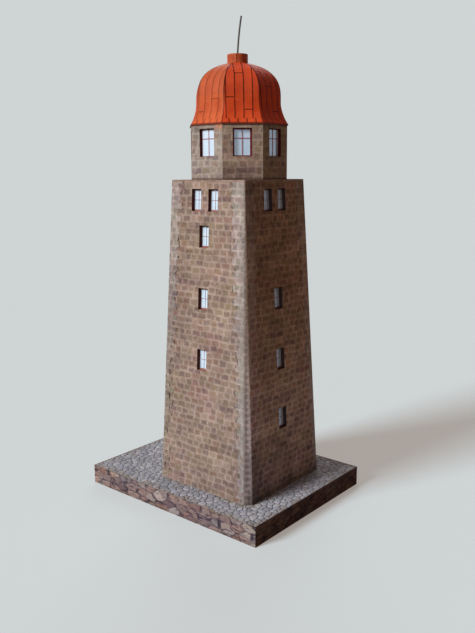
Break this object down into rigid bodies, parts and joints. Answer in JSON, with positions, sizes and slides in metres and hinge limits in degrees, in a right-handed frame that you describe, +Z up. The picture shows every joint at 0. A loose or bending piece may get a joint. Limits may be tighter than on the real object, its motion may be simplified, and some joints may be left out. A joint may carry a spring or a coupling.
{
  "type": "card model of an observation tower",
  "caption": "Card model of a battered square stone observation tower with an octagonal lantern, a red bell dome and a wire mast, standing on a low rubble-walled terrace.",
  "frame": {"origin": "middle of the terrace's underside, on the ground", "axes": "+Z up; -Y is the front, the wall seen on the left of a three-quarter view; +X is the right side. The tower's axis stands 10 mm to +X of the origin."},
  "size_m": [0.107, 0.084, 0.2273],
  "materials": {
    "stone_print": "matt printed squared stone on 1.8 mm card",
    "rubble_print": "matt printed rubble masonry, worn at the edges",
    "paving_print": "matt printed crazy paving",
    "base_card": "plain grey card",
    "deck_card": "matt printed card",
    "window_pane": "pale blue printed panes with a light sheen",
    "roof_paper": "satin orange-red printed sheet metal",
    "mast_wire": "dull dark wire"
  },
  "bodies": {
    "root": {"terrace_base": "base_card", "terrace_paving": "paving_print", "terrace_wall_front": "rubble_print", "terrace_wall_right": "rubble_print", "terrace_wall_back": "rubble_print", "terrace_wall_left": "rubble_print", "shaft_wall_front": "stone_print", "shaft_wall_right": "stone_print", "shaft_wall_back": "stone_print", "shaft_wall_left": "stone_print", "shaft_windows_front": "window_pane", "shaft_windows_right": "window_pane", "shaft_windows_back": "window_pane", "shaft_windows_left": "window_pane", "deck": "deck_card", "lantern_wall_front": "stone_print", "lantern_wall_front_right": "stone_print", "lantern_wall_right": "stone_print", "lantern_wall_back_right": "stone_print", "lantern_wall_back": "stone_print", "lantern_wall_back_left": "stone_print", "lantern_wall_left": "stone_print", "lantern_wall_front_left": "stone_print", "lantern_window_front": "window_pane", "lantern_window_front_right": "window_pane", "lantern_window_right": "window_pane", "lantern_window_back_right": "window_pane", "lantern_window_back": "window_pane", "lantern_window_back_left": "window_pane", "lantern_window_left": "window_pane", "lantern_window_front_left": "window_pane", "eave_plate": "roof_paper", "dome_gore_front": "roof_paper", "dome_gore_front_right": "roof_paper", "dome_gore_right": "roof_paper", "dome_gore_back_right": "roof_paper", "dome_gore_back": "roof_paper", "dome_gore_back_left": "roof_paper", "dome_gore_left": "roof_paper", "dome_gore_front_left": "roof_paper", "collar": "roof_paper", "mast": "mast_wire"}
  },
  "joints": []
}
